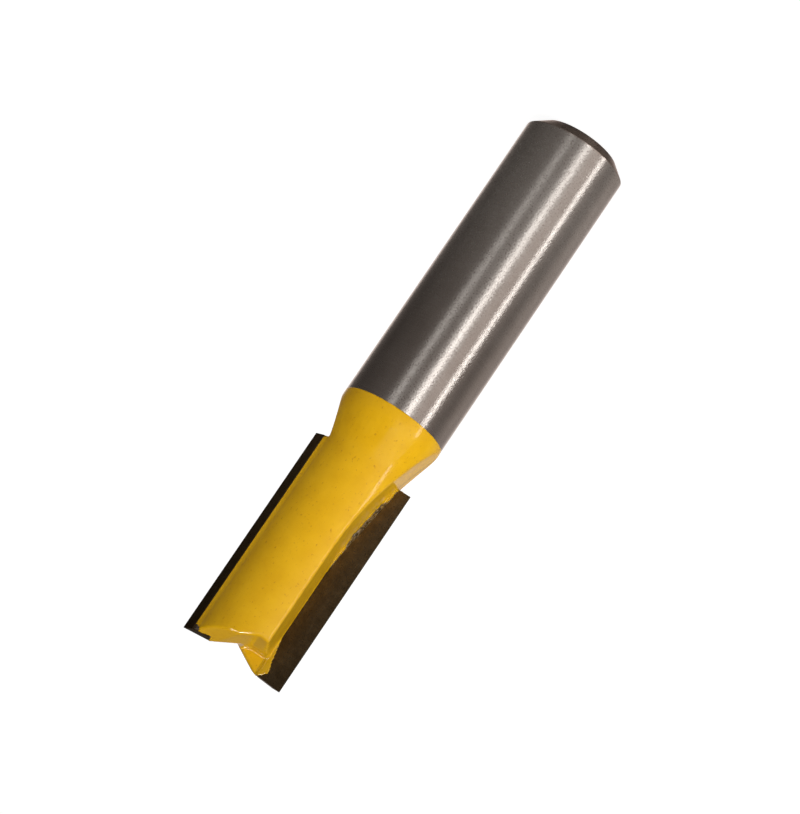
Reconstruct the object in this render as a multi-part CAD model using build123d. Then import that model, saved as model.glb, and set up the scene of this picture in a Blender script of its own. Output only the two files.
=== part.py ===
from build123d import *
import os
from math import cos, sin, tan, radians, degrees, acos, hypot

# A straight two-flute router bit with brazed tips, standing on the flat end of its shank.
# +Z runs along the axis from the shank's end to the cutting end. Lengths are in millimetres,
# angles in degrees. Seen from the cutting end the bit turns counter-clockwise.

# Shank and overall lengths
shank_diameter = 12.0
shank_length = 36.8          # bare ground length, up to the paint line
shank_chamfer_width = 1.5    # across the end face
shank_chamfer_length = 1.3   # along the axis
neck_length = 5.7            # from the paint line to the tops of the tips
cutting_length = 25.0
cutting_diameter = 12.0

# Turned neck, a cone between the full shank and the fluted head
neck_step = 0.08             # the painted steel lies this far inside the ground shank
taper_start = 1.0            # past the paint line, where the cone starts
taper_length = 4.4
taper_round = 4.5            # where the cone leaves the shank
neck_round = 8.0             # where the cone meets the head
head_clearance = 1.04        # the head's steel lies this far inside the cutting circle

# Carbide tips
tip_count = 2
rake_angle = 10.5
clearance_angle = 31.5
tip_width = 3.0
tip_thickness = 1.15
tip_curve_start = 15.35      # past the tips' tops, where the inner edge starts to curve outwards
tip_curve_radius = 55.0
tip_corner_angle = 8.1       # of the straight slanted edge that the curve leads to
end_dish_angle = 4.0
end_relief_angle = 5.0
braze_thickness = 0.08

# Flutes
floor_recess = 0.16          # the steel floor lies this far behind the tip's face
runout_start = 10.2          # past the tips' tops, where the wall starts to curve outwards
runout_radius = 40.0

# Heel that backs each tip
heel_angle = 50.0            # from the radial line, inwards and back
heel_length = 1.6

# Gashed cutting end
notch_depth = 1.88           # on the axis, below the cutting corners
notch_relief_angle = 9.5     # of the gash's floor, behind the other tip's edge plane
notch_lip = 0.22             # left at each tip's inner corner
gash_depth = 2.4
steel_relief_angle = 20.5
steel_dish_angle = 5.5
tip_proud = 0.1              # the tips stand this far past the steel at their back corners

# Enamel coat on the neck and head
coat_thickness = 0.1
coat_edge_gap = 0.03         # bare line beside each ground tip

# Worked out from the sizes above
shank_radius = shank_diameter / 2
cutting_radius = cutting_diameter / 2
neck_radius = shank_radius - neck_step
head_radius = cutting_radius - head_clearance
tips_top = shank_length + neck_length
end_level = tips_top + cutting_length

edge_out = cutting_radius * cos(radians(rake_angle))
rake_level = -cutting_radius * sin(radians(rake_angle))
tip_inner = edge_out - tip_width
tip_back = rake_level - tip_thickness
wall_out = tip_inner - braze_thickness
floor_level = rake_level - floor_recess

reach = 4 * max(cutting_diameter, shank_diameter, cutting_length)


def turned(angle, shape):
    """The shape turned about the bit's axis."""
    return Rot(0, 0, angle) * shape


def each_tooth(shape):
    """Copies of one tooth's shape, one for every tooth."""
    return [turned(360 / tip_count * i, shape) for i in range(tip_count)]


def half_space(origin, normal):
    """A large block on the side that the normal points to."""
    return Plane(origin=origin, z_dir=normal) * Box(
        reach, reach, reach, align=(Align.CENTER, Align.CENTER, Align.MIN))


def rake_prism(face, low, high):
    """A prism on an outline drawn in the rake plane, between two levels in front of the axis."""
    block = extrude(Plane.XZ * face, amount=low - high)
    return turned(rake_angle, Pos(0, low, 0) * block)


# Plan corners of one tip, seen along the axis, for the tooth on the +X side
flank_run = tip_thickness / cos(radians(rake_angle + clearance_angle))
back_corner = Vector(cutting_radius - flank_run * sin(radians(clearance_angle)),
                     -flank_run * cos(radians(clearance_angle)))
inner_corner_out = (tip_inner * cos(radians(rake_angle)) - rake_level * sin(radians(rake_angle)))
outwards = Vector(cos(radians(rake_angle)), sin(radians(rake_angle)))


def neck_profile(grow):
    """Half outline of the neck and head, from the paint line to past the cutting end."""
    cone_top = shank_length + taper_start
    return FilletPolyline(
        (neck_radius + grow, shank_length),
        (neck_radius + grow, cone_top),
        (head_radius + grow, cone_top + taper_length),
        (head_radius + grow, end_level + cutting_radius),
        radius=[taper_round, neck_round])


def turned_head(grow):
    """The neck and head as turned, before any milling."""
    side = neck_profile(grow)
    closing = Polyline(side @ 1, (0, (side @ 1).Y), (0, shank_length), side @ 0)
    return revolve(Plane.XZ * make_face(side + closing), Axis.Z)


def shank():
    """The ground shank with its end chamfer."""
    outline = Polyline(
        (0, 0),
        (shank_radius - shank_chamfer_width, 0),
        (shank_radius, shank_chamfer_length),
        (shank_radius, shank_length),
        (0, shank_length),
        close=True)
    return revolve(Plane.XZ * make_face(outline), Axis.Z)


def heel(grow):
    """The steel left standing behind a tip, sloping down to the head."""
    lean = radians(heel_angle)
    inset = coat_thickness + coat_edge_gap - grow
    start = back_corner - outwards * (inset / sin(lean - radians(rake_angle)))
    foot = start - Vector(cos(lean), sin(lean)) * heel_length
    inside = foot - outwards * tip_thickness
    root = start - outwards * tip_width / 2
    plan = make_face(Polyline(*[(p.X, p.Y) for p in (start, foot, inside, root)], close=True))
    return Pos(0, 0, tips_top - grow) * extrude(plan, amount=cutting_length + cutting_radius)


def flute(grow):
    """What the flute's cutter takes away: all in front of one tip, and all beside the wall above the tip."""
    wall = wall_out + grow
    radius = runout_radius - grow
    far = wall + cutting_diameter
    turn_level = tips_top + runout_start
    top = end_level + cutting_radius
    straight = Line((wall, top), (wall, turn_level))
    sweep = JernArc(start=(wall, turn_level), tangent=(0, -1), radius=radius,
                    arc_size=degrees(acos(1 - cutting_radius / radius)))
    closing = Polyline(sweep @ 1, (far, (sweep @ 1).Y), (far, top), straight @ 0)
    plan = make_face(straight + sweep + closing)
    runout = rake_prism(plan, -reach / 2, reach / 2)
    return [rake_prism(plan, floor_level + grow, reach / 2),
            runout & half_space((0, 0, tips_top - grow), (0, 0, -1))]


def gash(grow):
    """What the end gash takes away in front of one tip's face, up to the other tip's back."""
    front = turned(rake_angle, Pos(0, floor_level + grow, end_level) * Box(
        reach, reach, reach, align=(Align.CENTER, Align.MIN, Align.CENTER)))
    slope = (notch_depth - notch_lip) / inner_corner_out
    lift = grow * hypot(1, slope)
    floor = end_level - gash_depth + grow
    meet = (end_level - notch_depth + lift - floor) / slope
    notch_side = Line((-cutting_radius, end_level - notch_depth + lift + slope * cutting_radius),
                      (meet, floor))
    above = end_level + cutting_radius * 2
    closing = Polyline(notch_side @ 1, (cutting_diameter, floor), (cutting_diameter, above),
                       (-cutting_radius, above), notch_side @ 0)
    plan = make_face(notch_side + closing)
    behind = -floor_level
    level = Pos(0, behind, 0) * extrude(Plane.XZ * plan, amount=cutting_diameter)
    lean = radians(notch_relief_angle)
    relieved = extrude(Pos(0, behind, 0) * (Plane.XZ * plan), amount=cutting_diameter,
                       dir=(0, cos(lean), -sin(lean)))
    notch = level + relieved
    relief = Vector(tan(radians(steel_dish_angle)), tan(radians(steel_relief_angle)), 1)
    seat = tip_end_level(back_corner) - tip_proud
    lowered = half_space((-back_corner.X, -back_corner.Y, seat + grow * relief.length), relief)
    return [front & notch, front & lowered]


def tip_end_level(point):
    """Height of a tip's end face above a plan point of the tooth on the +X side."""
    return (end_level - (cutting_radius - point.X) * tan(radians(end_dish_angle))
            + point.Y * tan(radians(end_relief_angle)))


def tip_outline(grow):
    """A tip's outline in the rake plane, with its curved inner corner towards the shank."""
    inner = tip_inner - grow
    low = tips_top - grow
    turn_level = tips_top + tip_curve_start
    top = end_level + cutting_radius
    far = cutting_diameter
    straight = Line((inner, top), (inner, turn_level))
    sweep = JernArc(start=(inner, turn_level), tangent=(0, -1), radius=tip_curve_radius + grow,
                    arc_size=tip_corner_angle)
    bottom = sweep @ 1
    slant = (bottom.Y - low) * tan(radians(tip_corner_angle))
    closing = Polyline(bottom, (bottom.X + slant, low), (far, low), (far, top), straight @ 0)
    return make_face(straight + sweep + closing)


def tip_blank():
    """One tip with its flank ground but its end still long."""
    lean = radians(clearance_angle)
    outside = half_space((cutting_radius, 0, end_level), (cos(lean), -sin(lean), 0))
    return rake_prism(tip_outline(0), tip_back, rake_level) - outside


def carbide_tip():
    """One finished tip, with its dished and relieved end."""
    normal = (-tan(radians(end_dish_angle)), -tan(radians(end_relief_angle)), 1)
    return tip_blank() - half_space((cutting_radius, 0, end_level), normal)


def pocket():
    """The seat milled for one tip and its braze."""
    return rake_prism(tip_outline(braze_thickness), tip_back - braze_thickness, rake_level)


def milled_head(grow):
    """The head with its heels, flutes and gashed end, without the tips' seats."""
    shape = turned_head(grow)
    for part in each_tooth(heel(grow)):
        shape += part
    for cut in flute(grow) + gash(grow):
        for part in each_tooth(cut):
            shape -= part
    return shape


bare_head = milled_head(0)

steel_body = shank() + bare_head
for seat in each_tooth(pocket()):
    steel_body -= seat

carbide_tips = each_tooth(carbide_tip())

braze_layers = [(bare_head & seat) - blank
                for seat, blank in zip(each_tooth(pocket()), each_tooth(tip_blank()))]

enamel_coat = milled_head(coat_thickness) - bare_head
for blank in each_tooth(tip_blank()):
    enamel_coat -= blank

os.makedirs("parts", exist_ok=True)
export_step(steel_body, "parts/steel_body.step")
export_step(enamel_coat, "parts/enamel_coat.step")
for number, (tip, layer) in enumerate(zip(carbide_tips, braze_layers), start=1):
    export_step(tip, f"parts/carbide_tip_{number}.step")
    export_step(layer, f"parts/braze_layer_{number}.step")
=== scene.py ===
from math import cos, pi, radians, sin

import bmesh
import bpy
import numpy as np
from mathutils import Matrix, Vector, noise
from mathutils.bvhtree import BVHTree


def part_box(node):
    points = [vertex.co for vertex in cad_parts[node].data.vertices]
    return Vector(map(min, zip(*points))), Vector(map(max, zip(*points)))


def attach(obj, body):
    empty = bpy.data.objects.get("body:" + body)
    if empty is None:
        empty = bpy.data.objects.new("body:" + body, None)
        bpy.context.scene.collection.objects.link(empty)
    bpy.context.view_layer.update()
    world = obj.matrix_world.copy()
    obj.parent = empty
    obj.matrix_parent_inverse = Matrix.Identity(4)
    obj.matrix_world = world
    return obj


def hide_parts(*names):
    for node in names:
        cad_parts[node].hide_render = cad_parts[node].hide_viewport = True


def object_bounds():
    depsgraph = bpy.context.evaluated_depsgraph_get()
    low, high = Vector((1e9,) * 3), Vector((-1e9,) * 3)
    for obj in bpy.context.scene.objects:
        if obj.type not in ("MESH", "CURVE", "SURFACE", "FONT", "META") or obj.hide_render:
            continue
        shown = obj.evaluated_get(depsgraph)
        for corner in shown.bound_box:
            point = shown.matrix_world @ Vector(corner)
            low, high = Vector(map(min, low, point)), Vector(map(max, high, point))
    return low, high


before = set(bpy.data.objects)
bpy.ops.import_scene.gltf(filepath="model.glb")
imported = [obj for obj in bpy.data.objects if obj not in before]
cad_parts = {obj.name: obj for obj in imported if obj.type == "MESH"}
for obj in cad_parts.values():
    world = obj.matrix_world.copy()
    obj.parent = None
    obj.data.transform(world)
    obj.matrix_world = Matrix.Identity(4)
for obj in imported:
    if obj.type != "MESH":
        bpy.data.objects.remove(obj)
cad_low, cad_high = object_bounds()

MM = 0.001
WHITE = (1.0, 1.0, 1.0)

# The photo's view, worked out from the bit's edges: angles in degrees, lengths in metres
VIEW_AZIMUTH = 0.714
VIEW_ELEVATION = 13.815
VIEW_ROLL = -145.84
VIEW_DISTANCE = 420.26 * MM
VIEW_LENS = 176.32           # millimetres, on a sensor 36 mm wide
VIEW_AIM = (0.246 * MM, 0, 35.102 * MM)


def box_corner(name, number):
    """Lowest (0) or highest (1) corner of a CAD node, in millimetres, to a thousandth."""
    return [round(value / MM, 3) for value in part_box(name)[number]]


# The bit's sizes, in millimetres and degrees
PAINT_LINE = box_corner("enamel_coat", 0)[2]
TIPS_TOP = box_corner("carbide_tip_1", 0)[2]
CUTTING_END = box_corner("carbide_tip_1", 1)[2]
CUTTING_RADIUS = box_corner("carbide_tip_1", 1)[0]
RAKE_ANGLE = 10.5
RAKE_LEVEL = -CUTTING_RADIUS * sin(radians(RAKE_ANGLE))     # of a tip's face, which is behind the axis

# The enamel's skin, in millimetres
GRID = 0.12                  # cell of the remeshed skin
TOUCHING = 1e-4              # points this close are one
SMOOTHING_ROUNDS = 9
HEAD_OVERLAP = 0.6           # of the remeshed head past the paint line
SKIN_OVERLAP = 0.3           # of the skin past the paint line, before it is cut there
COAT_THICKNESS = 0.1
RIM = 0.09                   # depth of the paint's own edge
SKIN_CLEARANCE = 0.05        # least distance between the skin and the steel below it
STEEL_REACH = 0.3            # how far away that steel is looked for
LARGEST_RADIUS = 6.015       # of the paint, beside the shank

# The paint's edges on each tooth, in millimetres. Outwards is away from the axis along the face
TIP_MARGIN = 0.04            # paint is nearer to the coat than to a tip, by more than this
FLUTE_BEHIND = 0.35          # the flute's paint, from here behind the plane of the tip's face
FLUTE_AHEAD = 1.2            # to here in front of it
FLOOR_SHADE_LEVEL = 0.16            # the paint on the flute's floor is painted darker, a painted shade, up to here in front of that plane
FLOOR_SHADE_START = 2.6             # and from here outwards
FAR_SHIFT = 2.6              # the edges of tooth 1 start this much further along, so the teeth differ
RAGGED_SIZE = 0.55
SEAM_REACH = 1.2             # a bare seam is looked for this close to its tip
SEAM_RAGGED = 0.09
COVER_BAND = 0.12            # the skin on a tip's face is this close to the coat's level
COVER_LENGTH = 5.9           # below the cutting end, where the paint runs over the face
COVER_RAGGED = 0.05
SPOT_LENGTH = 1.2            # below the cutting end, where the bare spot behind a corner may lie
SPOT_DEPTH = 0.25            # of its middle, below the end
SPOT_RADIUS = 0.55
SPOT_START = 4.6             # from the plane X = 0

# Width of the bare seam beside a tip, by height above the tips' tops
SEAM_WIDTHS = [(1.5, 0), (1.8, 0.14), (2.3, 0.40), (3.9, 0.44), (4.7, 0.44), (6.7, 0.46),
               (7.7, 0.28), (8.7, 0.1), (9.1, 0)]

# How far from the plane X = 0 the paint runs over a tip's face, by depth below the cutting end
COVER_WIDTHS = [(0.1, 3.05), (0.95, 3.9), (1.2, 3.97), (2.4, 3.64), (3.4, 3.44), (5.5, 3.08),
                (6.0, 2.96)]

# The room as the metal and the gloss see it: angles as for direction(), with a radiance each
ROOM_AROUND = [(-180, 1.0), (-162, 0.95), (-150, 0.12), (-120, 0.06), (-106, 0.074), (-82, 0.104),
               (-62, 0.13), (-45, 0.153), (-25, 0.175), (0, 0.25), (20, 0.4), (34, 0.74), (44, 0.74),
               (54, 0.59), (66, 0.35), (76, 0.245), (86, 0.185), (98, 0.21), (110, 0.3), (125, 0.36),
               (140, 0.3), (153, 0.45), (166, 0.95), (180, 1.0)]
ROOM_UPWARDS = [(-90, 0.08), (-44, 0.08), (-32, 0.9), (-20, 1.0), (-3, 1.0), (8, 0.5), (18, 0.2),
                (28, 0.12), (90, 0.2)]
ROOM_WARMTH = (1.12, 0.975, 0.91)
ROOM_AMBIENT = (0.37, 0.365, 0.35)     # radiance of the whole room for dull surfaces

# The lamps: azimuth, elevation, width and height in metres, and radiance
LAMP_DISTANCE = 0.8
STRIP_LIGHTS = {"strip_front": (15.6, 40, 0.045, 0.5, 92.0),
                "strip_right": (55.9, -11, 0.08, 0.44, 4.9),
                "strip_left": (-28, 40, 0.09, 0.5, 13.0)}
KEY_LIGHT = (30, 15, 0.8, 0.8, 3.55)

FLOOR_RADIUS = 3.0
FLOOR_SIDES = 96
FLOOR_SEEN = 0.25            # colour of the floor as the camera sees it, on top of its glow
FLOOR_BOUNCE = 0.6           # colour of the floor for the light that it sends up to the bit
FLOOR_GLOW = 0.93


def direction(azimuth, elevation):
    """Unit vector towards a place in the studio: azimuth 0 is -Y, on the camera's side, and 90 is -X."""
    a, e = radians(azimuth), radians(elevation)
    return Vector((-sin(a) * cos(e), -cos(a) * cos(e), sin(e)))


def add_camera():
    """The camera at the photo's angle, rolled so that the cutting end points down and left."""
    back = direction(-VIEW_AZIMUTH, VIEW_ELEVATION)
    level_right = Vector((cos(radians(VIEW_AZIMUTH)), sin(radians(VIEW_AZIMUTH)), 0))
    level_up = back.cross(level_right)
    roll = radians(VIEW_ROLL)
    right = cos(roll) * level_right + sin(roll) * level_up
    up = cos(roll) * level_up - sin(roll) * level_right
    data = bpy.data.cameras.new("camera")
    data.lens = VIEW_LENS
    data.clip_start = 10 * MM
    camera = bpy.data.objects.new("camera", data)
    bpy.context.scene.collection.objects.link(camera)
    place = Matrix.Translation(Vector(VIEW_AIM) + back * VIEW_DISTANCE)
    camera.matrix_world = place @ Matrix((right, up, back)).transposed().to_4x4()
    bpy.context.scene.camera = camera


def feed(tree, target, **inputs):
    """Sets a node's inputs to values, or links them to sockets.

    A name has _ for its blanks, and an input that shares its name with another is i and its number.
    """
    for name, value in inputs.items():
        numbered = name[0] == "i" and name[1:].isdigit()
        key = int(name[1:]) if numbered else name.replace("_", " ")
        if isinstance(value, bpy.types.NodeSocket):
            tree.links.new(value, target.inputs[key])
        else:
            target.inputs[key].default_value = value


def node(tree, kind, settings=None, **inputs):
    """A new shader node with its settings and its inputs."""
    made = tree.nodes.new(kind)
    for name, value in (settings or {}).items():
        setattr(made, name, value)
    feed(tree, made, **inputs)
    return made


def new_material(name, **values):
    """A material with its shader's own numbers set, its tree and its shader."""
    material = bpy.data.materials.new(name)
    material.use_nodes = True
    tree = material.node_tree
    shader = tree.nodes["Principled BSDF"]
    feed(tree, shader, **values)
    return material, tree, shader


def graded(tree, value, stops):
    """A colour from a value between 0 and 1, by stops of a position and a grey level or a colour."""
    made = node(tree, "ShaderNodeValToRGB", Fac=value)
    ramp = made.color_ramp
    while len(ramp.elements) > 1:
        ramp.elements.remove(ramp.elements[-1])
    for number, (position, colour) in enumerate(stops):
        stop = ramp.elements[0] if number == 0 else ramp.elements.new(position)
        stop.position = position
        stop.color = (*colour, 1) if isinstance(colour, tuple) else (colour, colour, colour, 1)
    return made.outputs["Color"]


def cloud(tree, size, detail=3.0, seed=0.0):
    """Noise fixed to the piece, whose cells are as large as size says, in millimetres."""
    sizes = size if isinstance(size, tuple) else (size, size, size)
    scale = tuple(1 / (s * MM) for s in sizes)
    place = node(tree, "ShaderNodeTexCoord")
    sized = node(tree, "ShaderNodeMapping", Vector=place.outputs["Object"], Scale=scale,
                 Location=(seed, seed, 0))
    made = node(tree, "ShaderNodeTexNoise", Vector=sized.outputs[0], Scale=1.0, Detail=detail)
    return made.outputs[0]


def times(tree, value, number):
    """A value times a number."""
    return node(tree, "ShaderNodeMath", {"operation": "MULTIPLY"}, i0=value, i1=number).outputs[0]


def added(tree, first, second, share):
    """Two values added, the second times its share."""
    made = node(tree, "ShaderNodeMath", {"operation": "MULTIPLY_ADD"}, i0=second, i1=share, i2=first)
    return made.outputs[0]


def blended(tree, main, second, third):
    """Half of the main value with a quarter of each of the others."""
    return times(tree, added(tree, added(tree, main, second, 0.5), third, 0.5), 0.5)


def share_of_height(tree, whole):
    """How high a point is above the shank's end, as a share of a whole height in millimetres."""
    place = node(tree, "ShaderNodeTexCoord")
    split = node(tree, "ShaderNodeSeparateXYZ", Vector=place.outputs["Object"])
    return times(tree, split.outputs["Z"], 1 / (whole * MM))


def tinted(tree, colour, *tints):
    """A colour times each of the tints."""
    for tint in tints:
        made = node(tree, "ShaderNodeMix", {"data_type": "RGBA", "blend_type": "MULTIPLY"},
                    Factor=1.0, i6=colour, i7=tint)
        colour = made.outputs[2]
    return colour


def either(tree, choice, first, second):
    """The first colour where the choice is 0, and the second where it is 1."""
    made = node(tree, "ShaderNodeMix", {"data_type": "RGBA"}, Factor=choice, i6=first, i7=second)
    return made.outputs[2]


def bumped(tree, shader, depth, **inputs):
    """A bump on the shader, as deep as depth says in millimetres. Its inputs are Height and Normal."""
    made = node(tree, "ShaderNodeBump", Distance=depth * MM, **inputs)
    feed(tree, shader, Normal=made.outputs[0])
    return made.outputs[0]


def steel_material():
    """Cylindrically ground steel: fine rings, speckle and a few dark pits.

    It is a little less metallic towards the shank's end, a painted light that shows it lighter there, and
    its chamfer is darker and browner.
    """
    material, tree, shader = new_material("ground_steel", Metallic=1.0, Anisotropic=0.95,
                                          Anisotropic_Rotation=0.25)
    around = node(tree, "ShaderNodeTangent", {"direction_type": "RADIAL", "axis": "Z"})
    rings = cloud(tree, (3.0, 3.0, 0.09))
    speckle = cloud(tree, 0.17, seed=5.0)
    blotch = cloud(tree, (1.2, 1.2, 2.4), seed=9.0)
    along = share_of_height(tree, PAINT_LINE)
    colour = graded(tree, blended(tree, speckle, rings, blotch),
                    [(0.3, (0.46, 0.42, 0.385)), (0.5, (0.57, 0.53, 0.49)),
                     (0.7, (0.69, 0.65, 0.61))])
    pits = graded(tree, cloud(tree, 0.6, 2.0, 3.0), [(0.0, 0.55), (0.17, 0.55), (0.21, 1.0)])
    brown = (0.9, 0.76, 0.68)
    # The chamfer at the shank's end is darker and browner
    chamfer_tint = graded(tree, along, [(0.0, brown), (0.034, brown), (0.038, WHITE)])
    feed(tree, shader,
         Tangent=around.outputs[0],
         Base_Color=tinted(tree, colour, pits, chamfer_tint),
         Roughness=graded(tree, speckle, [(0.3, 0.26), (0.7, 0.34)]),
         # Painted light: less metallic towards the shank's end, so that it looks lighter there
         Metallic=graded(tree, along, [(0.25, 0.90), (0.75, 1.0)]))
    grain = bumped(tree, shader, 0.0012, Height=rings)
    bumped(tree, shader, 0.011, Height=speckle, Normal=grain)
    return material


def enamel_material():
    """Thick glossy enamel, a little wavy, with pinholes and brown specks. It is painted darker towards
    the cutting end and on the flutes' floors beside the tips, as painted shade.
    """
    material, tree, shader = new_material("yellow_enamel")
    blotch = cloud(tree, 2.2)
    fine = cloud(tree, 0.35, seed=4.0)
    colour = graded(tree, added(tree, blotch, fine, 0.25),
                    [(0.45, (0.77, 0.41, 0.003)), (0.62, (0.80, 0.435, 0.004)),
                     (0.8, (0.83, 0.46, 0.006))])
    specks = graded(tree, cloud(tree, (0.24, 0.24, 0.36), 2.0, 2.0),
                    [(0.0, (0.6, 0.46, 0.36)), (0.27, (0.78, 0.66, 0.58)), (0.36, WHITE)])
    # Painted shade: darker paint on the flutes' floors beside the tips, and where it runs over the tips'
    # faces
    floor_shade = node(tree, "ShaderNodeAttribute", {"attribute_name": "floor_shade"})
    floor_shade_tint = graded(tree, floor_shade.outputs["Fac"], [(0.0, WHITE), (1.0, (0.76, 0.78, 1.0))])
    # Painted shade: the paint darkens towards the cutting end
    painted_end_shade = graded(tree, share_of_height(tree, CUTTING_END), [(0.78, 1.0), (1.0, 0.84)])
    feed(tree, shader,
         Base_Color=tinted(tree, colour, specks, floor_shade_tint, painted_end_shade),
         Roughness=graded(tree, fine, [(0.3, 0.10), (0.7, 0.17)]))
    waves = bumped(tree, shader, 0.03, Height=cloud(tree, 1.3, 2.0, 7.0))
    pinholes = graded(tree, cloud(tree, 0.3, 2.0, 2.5), [(0.0, 0.0), (0.27, 0.0), (0.38, 1.0)])
    bumped(tree, shader, 0.005, Height=pinholes, Normal=waves)
    return material


def carbide_material():
    """Dark ground carbide with fine grinding marks. Its dark colour is its own; its brown tint, lighter
    near the tips' tops and darker towards the cutting end, is painted reflection.
    """
    material, tree, shader = new_material("carbide", Metallic=1.0, Specular_Tint=(0.6, 0.58, 0.55, 1))
    marks = cloud(tree, (0.05, 0.05, 1.6))
    blotch = cloud(tree, 0.9, seed=3.0)
    speckle = cloud(tree, 0.14, seed=6.0)
    # Painted reflection: the brown tint stands in for the warm surroundings that the ground faces reflect
    colour = graded(tree, blended(tree, blotch, marks, speckle),
                    [(0.32, (0.115, 0.08, 0.04)), (0.5, (0.165, 0.117, 0.06)),
                     (0.68, (0.225, 0.165, 0.088))])
    # Painted reflection: lighter near the tips' tops, darker towards the cutting end
    painted_reflection_fade = graded(tree, share_of_height(tree, CUTTING_END),
                  [(TIPS_TOP / CUTTING_END, 1.1), (1.0, 0.55)])
    feed(tree, shader,
         Base_Color=tinted(tree, colour, painted_reflection_fade),
         Roughness=graded(tree, speckle, [(0.3, 0.26), (0.7, 0.36)]))
    bumped(tree, shader, 0.001, Height=marks)
    return material


def braze_material():
    """Dull silver braze with flux stains."""
    material, tree, shader = new_material("braze", Metallic=1.0)
    stains = cloud(tree, 0.28)
    colour = graded(tree, stains,
                    [(0.38, (0.09, 0.075, 0.05)), (0.5, (0.24, 0.205, 0.15)),
                     (0.62, (0.48, 0.45, 0.39))])
    feed(tree, shader, Base_Color=colour, Roughness=graded(tree, stains, [(0.3, 0.6), (0.7, 0.38)]))
    bumped(tree, shader, 0.05, Height=stains)
    return material


def paint_nodes():
    """Every carried-over CAD node gets its material."""
    looks = {"steel_body": steel_material(), "enamel_coat": enamel_material()}
    carbide, braze = carbide_material(), braze_material()
    for number in (1, 2):
        looks[f"carbide_tip_{number}"] = carbide
        looks[f"braze_layer_{number}"] = braze
    for name, material in looks.items():
        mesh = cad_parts[name].data
        mesh.materials.clear()
        mesh.materials.append(material)
    return looks


def cad_tree(names):
    """A search tree over the surfaces of these CAD nodes, in millimetres."""
    points, faces = [], []
    for name in names:
        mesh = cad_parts[name].data
        start = len(points)
        points += [v.co / MM for v in mesh.vertices]
        faces += [[start + i for i in p.vertices] for p in mesh.polygons]
    return BVHTree.FromPolygons(points, faces)


def distances(points, names):
    """How far each point is from the nearest surface of these CAD nodes."""
    tree = cad_tree(names)
    return np.array([tree.find_nearest(Vector(p))[3] for p in points])


def cut_below(shape, level, near):
    """Cuts away what lies under this level, and gives the edges of the cut.

    Points that are as near to the level as near says count as on it.
    """
    cut = bmesh.ops.bisect_plane(shape, geom=shape.verts[:] + shape.edges[:] + shape.faces[:], dist=near,
                                 plane_co=(0, 0, level), plane_no=(0, 0, 1), clear_inner=True)
    return [e for e in cut["geom_cut"] if isinstance(e, bmesh.types.BMEdge)]


def rounded_head():
    """The painted head with all that it holds, as one remeshed and smoothed skin.

    It comes as points, in millimetres, and faces of four points each.
    """
    shape = bmesh.new()
    for name in ("steel_body", "braze_layer_1", "braze_layer_2", "carbide_tip_1", "carbide_tip_2"):
        shape.from_mesh(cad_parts[name].data)
    bmesh.ops.scale(shape, vec=(1 / MM, 1 / MM, 1 / MM), verts=shape.verts)
    bmesh.ops.remove_doubles(shape, verts=shape.verts, dist=TOUCHING)
    bmesh.ops.holes_fill(shape, edges=cut_below(shape, PAINT_LINE - HEAD_OVERLAP, TOUCHING))
    mesh = bpy.data.meshes.new("blank")
    shape.to_mesh(mesh)
    shape.free()
    blank = bpy.data.objects.new("blank", mesh)
    bpy.context.scene.collection.objects.link(blank)
    remesh = blank.modifiers.new("remesh", "REMESH")
    remesh.mode = "VOXEL"
    remesh.voxel_size = GRID
    swell = blank.modifiers.new("swell", "DISPLACE")
    swell.direction = "NORMAL"
    swell.mid_level = 0
    swell.strength = COAT_THICKNESS
    soften = blank.modifiers.new("soften", "SMOOTH")
    soften.factor = 0.5
    soften.iterations = SMOOTHING_ROUNDS
    done = blank.evaluated_get(bpy.context.evaluated_depsgraph_get()).to_mesh()
    points = np.empty(len(done.vertices) * 3)
    done.vertices.foreach_get("co", points)
    faces = np.empty(len(done.loops), dtype=np.int64)
    done.loops.foreach_get("vertex_index", faces)
    bpy.data.objects.remove(blank)
    return points.reshape(-1, 3), faces.reshape(-1, 4)


def new_piece(name, points, faces, kept, material, solid=0.0, floor_shade=None):
    """A piece from those faces whose points are all kept, riding on the bit.

    It is as thick as solid says, inwards, and its last argument marks where its paint is painted darker,
    a painted shade.
    """
    faces = faces[kept[faces].all(axis=1)]
    used = np.unique(faces)
    place = np.zeros(len(points), dtype=np.int64)
    place[used] = np.arange(len(used))
    mesh = bpy.data.meshes.new(name)
    mesh.from_pydata((points[used] * MM).tolist(), [], place[faces].tolist())
    if floor_shade is not None:
        values = mesh.attributes.new("floor_shade", "FLOAT", "POINT").data
        values.foreach_set("value", floor_shade[used].astype(np.float32))
    piece = bpy.data.objects.new(name, mesh)
    bpy.context.scene.collection.objects.link(piece)
    shape = bmesh.new()
    shape.from_mesh(mesh)
    cut_below(shape, PAINT_LINE * MM, TOUCHING * MM)
    bmesh.ops.triangulate(shape, faces=[f for f in shape.faces if len(f.verts) > 4])
    shape.to_mesh(mesh)
    shape.free()
    mesh.shade_smooth()
    mesh.materials.append(material)
    if solid:
        thick = piece.modifiers.new("thick", "SOLIDIFY")
        thick.thickness = solid * MM
        thick.offset = -1
        thick.use_rim_only = True
    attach(piece, "root")
    return piece


def in_tooth(points, number):
    """Points in the frame of one tooth: x outwards along its tip's face, y in front of the face."""
    turn = radians(RAKE_ANGLE + 180 * (number - 1))
    return np.stack([points[:, 0] * cos(turn) + points[:, 1] * sin(turn),
                     points[:, 1] * cos(turn) - points[:, 0] * sin(turn), points[:, 2]], axis=1)


def ragged(points, seed):
    """A smooth random number between about -1 and 1 at every point."""
    return np.array([noise.noise(Vector(p) / RAGGED_SIZE + Vector((seed, 0, 0))) for p in points])


def between(places, stops):
    """A number at each place, on straight lines from stop to stop. A stop is a place and its number."""
    return np.interp(places, *zip(*stops))


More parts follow.
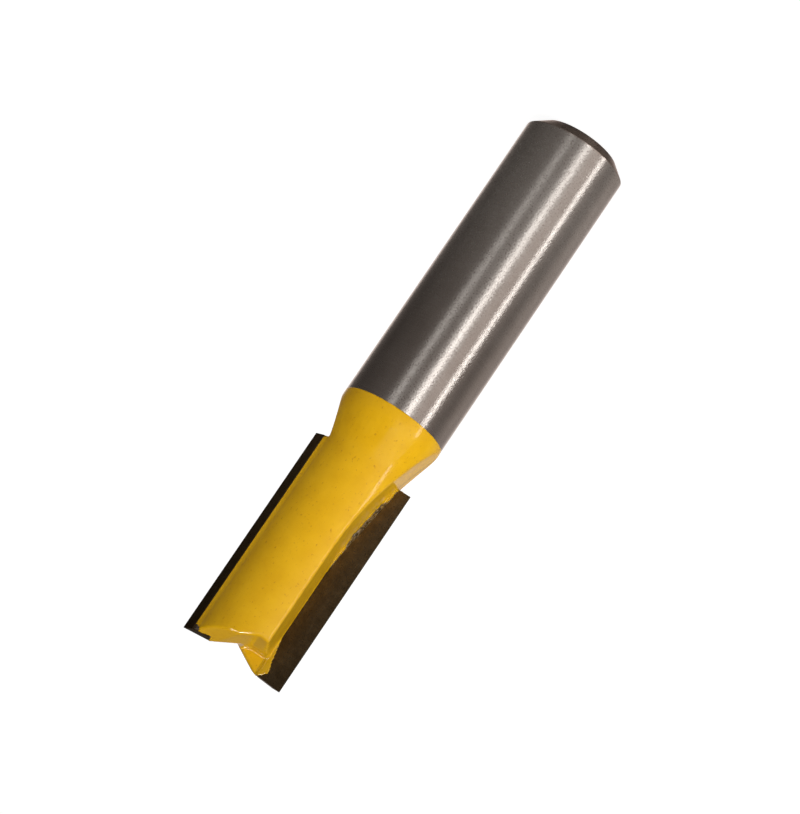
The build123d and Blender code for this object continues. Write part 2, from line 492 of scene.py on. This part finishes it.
def edge_paint(points, number, to_tip, painted, floor_shade):
    """Marks one tooth's paint in painted, and its painted shade on the flute's floor in the last
    argument, and gives the points of its bare seam.
    """
    place = in_tooth(points, number)
    outwards = place[:, 0]
    ahead = place[:, 1] - RAKE_LEVEL
    above = place[:, 2] - TIPS_TOP
    below = CUTTING_END - place[:, 2]
    aside = np.abs(points[:, 0])
    shift = FAR_SHIFT if number == 1 else 0
    own = outwards > 0
    flute = own & (ahead > -FLUTE_BEHIND) & (ahead < FLUTE_AHEAD)
    near = flute & (to_tip < SEAM_REACH)
    rough = np.zeros(len(points))
    rough[near] = ragged(points[near], 7 * number)
    # Painted shade: the paint on the flute's floor beside the tip is made darker
    floor_shade[flute & (ahead < FLOOR_SHADE_LEVEL) & (outwards > FLOOR_SHADE_START)] = 1.0

    # The bare seam beside the tip
    seam = between(above - shift, SEAM_WIDTHS)
    bare = near & painted & (seam > 0) & (to_tip < seam + SEAM_RAGGED * rough)
    painted &= ~bare

    # The paint that runs over the tip's face near the cutting end
    face = own & (np.abs(ahead - COAT_THICKNESS) < COVER_BAND)
    cover = between(below - shift, COVER_WIDTHS)
    painted |= face & (below < COVER_LENGTH) & (aside < cover + COVER_RAGGED * rough)

    # The bare spot behind the cutting corner
    behind = own & (ahead < 0) & (below < SPOT_LENGTH)
    spot = np.hypot(to_tip, below - SPOT_DEPTH)
    painted &= ~(behind & (spot < SPOT_RADIUS) & (aside > SPOT_START))
    return bare


def push_out(points, painted):
    """Moves the painted points off the steel, and keeps all points inside the largest radius."""
    steel = cad_tree(["steel_body"])
    for i in np.nonzero(painted)[0]:
        spot, normal = steel.find_nearest(Vector(points[i]), STEEL_REACH)[:2]
        if spot is not None:
            height = (Vector(points[i]) - spot).dot(normal)
            if height < SKIN_CLEARANCE:
                points[i] += np.array(normal) * (SKIN_CLEARANCE - height)
    beyond = np.hypot(points[:, 0], points[:, 1]) / LARGEST_RADIUS
    points[:, :2] /= np.maximum(beyond, 1)[:, None]


def paint_shell(enamel, braze):
    """The enamel as a thick rounded skin that stops at the tips, and the bare braze seams beside them."""
    points, faces = rounded_head()
    to_tip = distances(points, ["carbide_tip_1", "carbide_tip_2"])
    painted = distances(points, ["enamel_coat"]) + TIP_MARGIN < to_tip
    floor_shade = np.zeros(len(points))
    seams = [edge_paint(points, number, to_tip, painted, floor_shade) for number in (1, 2)]
    painted &= points[:, 2] > PAINT_LINE - SKIN_OVERLAP
    push_out(points, painted)
    shell = new_piece("enamel", points, faces, painted, enamel, RIM, floor_shade)
    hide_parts("enamel_coat")
    for number, bare in enumerate(seams, start=1):
        new_piece(f"braze_seam_{number}", points, faces, bare, braze)


def area_light(name, azimuth, elevation, width, height, radiance):
    """A softbox that faces the bit's middle. A radiance of 1 looks as white paper does in full light."""
    aim = Vector((0, 0, (cad_low.z + cad_high.z) / 2))
    data = bpy.data.lights.new(name, "AREA")
    data.shape = "RECTANGLE"
    data.size, data.size_y = width, height
    data.energy = radiance * pi * width * height
    lamp = bpy.data.objects.new(name, data)
    bpy.context.scene.collection.objects.link(lamp)
    away = direction(azimuth, elevation)
    lamp.location = aim + away * LAMP_DISTANCE
    lamp.rotation_euler = away.to_track_quat("Z", "Y").to_euler()
    return lamp


def room_colours(tree):
    """What the metal and the gloss see: by azimuth, and darker far above and below."""
    place = node(tree, "ShaderNodeTexCoord")
    split = node(tree, "ShaderNodeSeparateXYZ", Vector=place.outputs["Generated"])
    angle = node(tree, "ShaderNodeMath", {"operation": "ARCTAN2"},
                 i0=times(tree, split.outputs["X"], -1.0), i1=times(tree, split.outputs["Y"], -1.0))
    turn = added(tree, 0.5, angle.outputs[0], 1 / radians(360))
    height = added(tree, 0.5, split.outputs["Z"], 0.5)
    around = graded(tree, turn, [(azimuth / 360 + 0.5, tuple(level * w for w in ROOM_WARMTH))
                                 for azimuth, level in ROOM_AROUND])
    upwards = graded(tree, height, [(sin(radians(elevation)) / 2 + 0.5, level)
                                    for elevation, level in ROOM_UPWARDS])
    return tinted(tree, around, upwards)


def add_studio():
    """White backdrop, a dim room on the camera's side, strip lights and a soft key light."""
    scene = bpy.context.scene
    scene.view_settings.view_transform = "Standard"
    world = bpy.data.worlds.new("studio")
    scene.world = world
    world.use_nodes = True
    world.cycles.sampling_method = "NONE"
    tree = world.node_tree
    path = node(tree, "ShaderNodeLightPath")
    lit = either(tree, path.outputs["Is Glossy Ray"], (*ROOM_AMBIENT, 1), room_colours(tree))
    seen = either(tree, path.outputs["Is Camera Ray"], lit, (*WHITE, 1))
    feed(tree, tree.nodes["Background"], Color=seen)

    for name, values in STRIP_LIGHTS.items():
        area_light(name, *values).visible_diffuse = False
    area_light("soft_key", *KEY_LIGHT).visible_glossy = False


def add_floor():
    """A plain pale floor that shows white to the camera and keeps the bit's soft shadow."""
    material, tree, shader = new_material("pale_floor", Roughness=1.0, Specular_IOR_Level=0.0,
                                          Emission_Color=(*WHITE, 1))
    seen = node(tree, "ShaderNodeLightPath").outputs["Is Camera Ray"]
    feed(tree, shader,
         Base_Color=graded(tree, seen, [(0.0, FLOOR_BOUNCE), (1.0, FLOOR_SEEN)]),
         Emission_Strength=times(tree, seen, FLOOR_GLOW))
    shape = bmesh.new()
    bmesh.ops.create_circle(shape, cap_ends=True, segments=FLOOR_SIDES, radius=FLOOR_RADIUS)
    mesh = bpy.data.meshes.new("floor")
    shape.to_mesh(mesh)
    shape.free()
    mesh.materials.append(material)
    floor = bpy.data.objects.new("floor", mesh)
    bpy.context.scene.collection.objects.link(floor)
    floor.visible_glossy = False


add_camera()
looks = paint_nodes()
paint_shell(looks["enamel_coat"], looks["braze_layer_1"])
add_studio()
add_floor()
